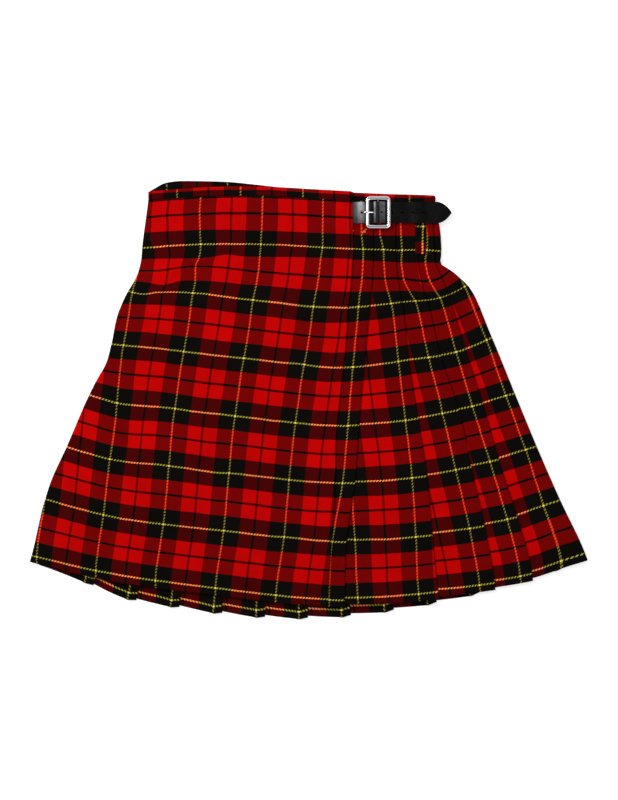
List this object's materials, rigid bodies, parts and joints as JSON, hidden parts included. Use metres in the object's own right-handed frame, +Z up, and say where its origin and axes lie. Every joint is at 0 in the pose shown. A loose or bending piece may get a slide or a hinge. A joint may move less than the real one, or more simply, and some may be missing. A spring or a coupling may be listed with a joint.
{
  "type": "lady's knife-pleated tartan kilt laid flat",
  "caption": "Wrapped wool kilt laid flat on its back: plain front aprons, knife pleats round the side and back, waistband, belt loop and a buckled leather strap.",
  "frame": {"origin": "middle of the bounding box, on the surface the kilt lies on", "axes": "+X to the right across the aprons, +Y from the hem up to the waist, +Z up off the surface"},
  "size_m": [0.6707, 0.5235, 0.0171],
  "materials": {
    "tartan_cloth": "red, black and yellow tartan, worsted wool twill",
    "strap_leather": "black bridle leather, polished, edges painted",
    "buckle_metal": "polished chromed brass"
  },
  "bodies": {
    "root": {"over_apron": "tartan_cloth", "under_apron": "tartan_cloth", "pleats": "tartan_cloth", "waistband": "tartan_cloth", "belt_loop": "tartan_cloth", "strap": "strap_leather", "buckle_tab": "strap_leather", "buckle_frame": "buckle_metal", "buckle_prong": "buckle_metal"}
  },
  "joints": []
}
